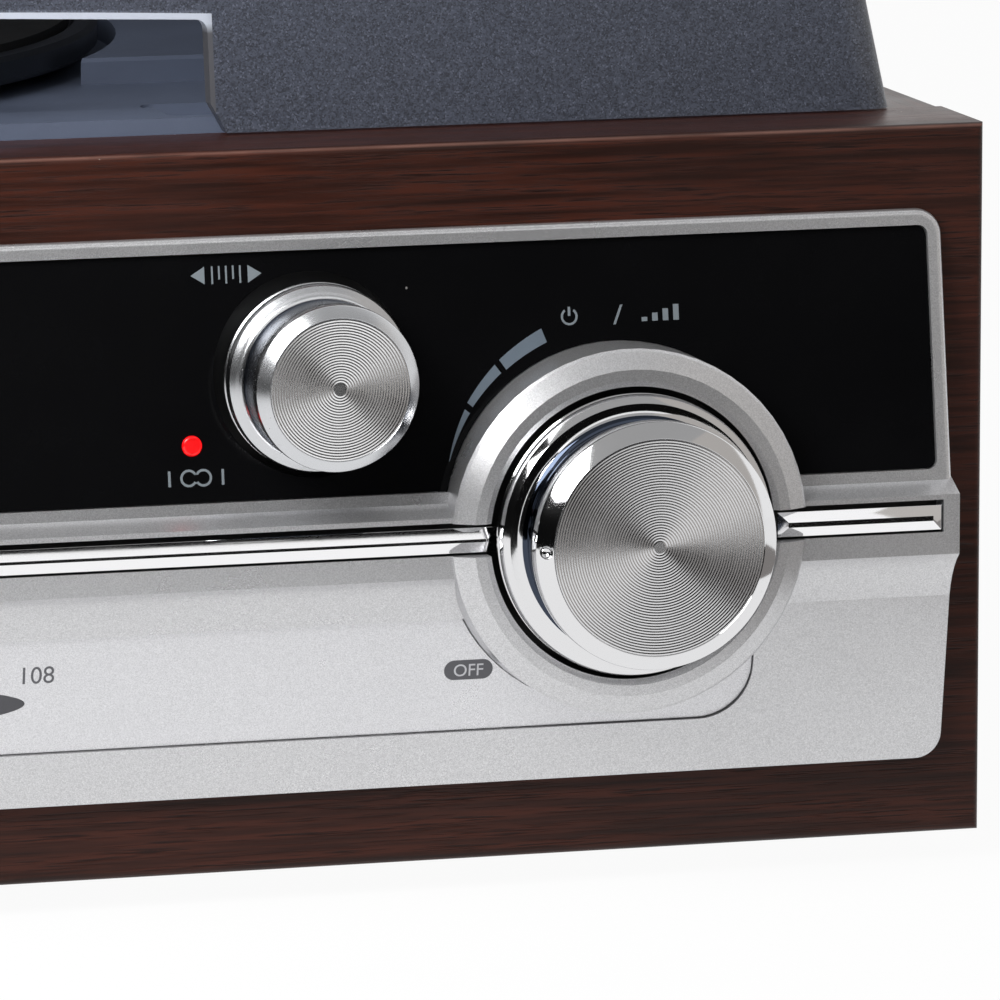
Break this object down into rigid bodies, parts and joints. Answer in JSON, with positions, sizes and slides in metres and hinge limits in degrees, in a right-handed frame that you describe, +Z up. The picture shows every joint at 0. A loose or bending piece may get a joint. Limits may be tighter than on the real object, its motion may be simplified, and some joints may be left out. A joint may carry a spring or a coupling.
{
  "type": "stereo music centre",
  "caption": "Low walnut-sided music centre: radio and amplifier with a silver front, large chromed knobs and a dial, and a record deck under a smoked hinged cover.",
  "frame": {"origin": "middle of the footprint's overall box, on the surface the feet stand on", "axes": "+X to the right as the user faces the set, +Y to its back, +Z up"},
  "size_m": [0.445, 0.363, 0.1793],
  "materials": {
    "walnut_board": "walnut foil with fine pores, satin",
    "raw_board": "plain fibreboard, matt",
    "silver_fascia": "silver mica paint, satin",
    "black_window": "black acrylic, gloss",
    "smoke_cover": "smoked clear plastic, gloss",
    "dark_lens": "dark clear plastic, gloss",
    "red_lens": "red clear plastic, gloss",
    "chrome_trim": "bright plated",
    "knob_chrome": "bright plated",
    "spun_aluminium": "spun with fine rings",
    "silver_scale": "satin anodised",
    "steel": "plain",
    "zinc_steel": "zinc plated",
    "pointer_red": "red",
    "black_plastic": "fine grained, satin",
    "grey_plastic": "satin",
    "black_rubber": "matt",
    "cast_platter": "black enamel, satin",
    "brass": "turned",
    "cord_fibre": "waxed cord",
    "board_green": "circuit laminate",
    "iron_core": "varnished laminations",
    "paper_cone": "black paper",
    "arm_metal": "satin anodised"
  },
  "bodies": {
    "cabinet": {"front_board": "walnut_board", "side_board_right": "walnut_board", "side_board_left": "walnut_board", "bottom_board": "raw_board", "deck_battens": "raw_board", "rear_panel": "raw_board", "rubber_feet": "black_rubber", "case_screws": "zinc_steel", "front_fascia": "silver_fascia", "display_window": "black_window", "belt_bars": "chrome_trim", "dial_plate": "silver_scale", "dial_lens": "dark_lens", "stereo_led": "red_lens", "control_bracket": "zinc_steel", "dial_cord": "cord_fibre", "tuning_capacitor": "steel", "rotary_pots": "zinc_steel", "function_switch": "zinc_steel", "turntable_deck": "black_plastic", "spindle": "chrome_trim", "drive_belt": "black_rubber", "motor": "zinc_steel", "tonearm_base": "black_plastic", "arm_rest": "black_plastic", "hinge_brackets": "zinc_steel", "hinge_pins": "steel", "circuit_board": "board_green", "transformer": "iron_core", "speaker_frames": "zinc_steel", "speaker_cones": "paper_cone", "line_jacks": "chrome_trim", "cord_gland": "black_plastic"},
    "lid": {"dust_cover": "smoke_cover", "hinge_arms": "zinc_steel"},
    "platter_body": {"platter": "cast_platter", "slip_mat": "black_rubber"},
    "pulley": {"motor_pulley": "brass"},
    "arm_fork": {"tonearm_yoke": "arm_metal"},
    "arm": {"tonearm_tube": "arm_metal", "cartridge": "black_plastic", "counterweight": "knob_chrome"},
    "clip": {"arm_clip": "black_plastic"},
    "cue": {"cue_lever": "black_plastic"},
    "lift": {"lift_bar": "black_plastic"},
    "speed": {"speed_selector": "black_plastic"},
    "volume": {"volume_knob": "knob_chrome", "volume_knob_disc": "spun_aluminium", "volume_shaft": "steel"},
    "function": {"function_knob": "knob_chrome", "function_knob_disc": "spun_aluminium", "function_shaft": "steel"},
    "tone": {"tone_knob": "knob_chrome", "tone_knob_disc": "spun_aluminium", "tone_shaft": "steel"},
    "tuning": {"tuning_knob": "knob_chrome", "tuning_knob_disc": "spun_aluminium", "tuning_shaft": "steel"},
    "drum": {"dial_drum": "grey_plastic"},
    "pointer": {"dial_pointer": "pointer_red"}
  },
  "joints": [
    {"name": "lid_hinge", "type": "hinge", "parent": "cabinet", "child": "lid", "pos_m": [0, 0.166, 0.1245], "axis": [-1, 0, 0], "range_deg": [0, 80]},
    {"name": "platter_spin", "type": "hinge", "parent": "cabinet", "child": "platter_body", "pos_m": [0, -0.022, 0.125], "axis": [0, 0, -1], "continuous": true},
    {"name": "pulley_spin", "type": "hinge", "parent": "cabinet", "child": "pulley", "pos_m": [-0.05798, 0.03598, 0.1115], "axis": [0, 0, -1], "continuous": true},
    {"name": "arm_swing", "type": "hinge", "parent": "cabinet", "child": "arm_fork", "pos_m": [0.155, 0.1, 0.135], "axis": [0, 0, -1], "range_deg": [0, 42]},
    {"name": "arm_lift", "type": "hinge", "parent": "arm_fork", "child": "arm", "pos_m": [0.155, 0.1, 0.14175], "axis": [-0.9969, -0.0785, 0], "range_deg": [0, 6]},
    {"name": "cue_turn", "type": "hinge", "parent": "cabinet", "child": "cue", "pos_m": [0.183, 0.11, 0.1284], "axis": [-1, 0, 0], "range_deg": [0, 60]},
    {"name": "lift_slide", "type": "slide", "parent": "cabinet", "child": "lift", "axis": [0, 0, 1], "range_m": [0, 0.0042]},
    {"name": "clip_turn", "type": "hinge", "parent": "cabinet", "child": "clip", "pos_m": [0.17273, -0.01697, 0.13875], "axis": [0.0785, -0.9969, 0], "range_deg": [0, 95]},
    {"name": "speed_slide", "type": "slide", "parent": "cabinet", "child": "speed", "axis": [1, 0, 0], "range_m": [-0.01, 0.01]},
    {"name": "volume_turn", "type": "hinge", "parent": "cabinet", "child": "volume", "pos_m": [0.1614, -0.154, 0.0574], "axis": [0, 1, 0], "range_deg": [-45, 225]},
    {"name": "function_turn", "type": "hinge", "parent": "cabinet", "child": "function", "pos_m": [-0.1614, -0.154, 0.0574], "axis": [0, 1, 0], "range_deg": [-30, 60]},
    {"name": "tone_turn", "type": "hinge", "parent": "cabinet", "child": "tone", "pos_m": [-0.1131, -0.154, 0.0827], "axis": [0, 1, 0], "range_deg": [-135, 135]},
    {"name": "tuning_turn", "type": "hinge", "parent": "cabinet", "child": "tuning", "pos_m": [0.1131, -0.154, 0.0827], "axis": [0, 1, 0], "range_deg": [-954.9, 954.9]},
    {"name": "drum_turn", "type": "hinge", "parent": "cabinet", "child": "drum", "pos_m": [0, -0.133, 0.057], "axis": [0, 1, 0], "range_deg": [-90, 90]},
    {"name": "pointer_slide", "type": "slide", "parent": "cabinet", "child": "pointer", "axis": [1, 0, 0], "range_m": [-0.05, 0.05]}
  ],
  "couplings": [
    {"joint": "pulley_spin", "follows": "platter_spin", "ratio": 12.4},
    {"joint": "cue_turn", "follows": "arm_lift", "ratio": 10},
    {"joint": "lift_slide", "follows": "arm_lift", "m_per_rad": 0.04},
    {"joint": "drum_turn", "follows": "tuning_turn", "ratio": 0.094248},
    {"joint": "pointer_slide", "follows": "tuning_turn", "m_per_rad": 0.003}
  ]
}
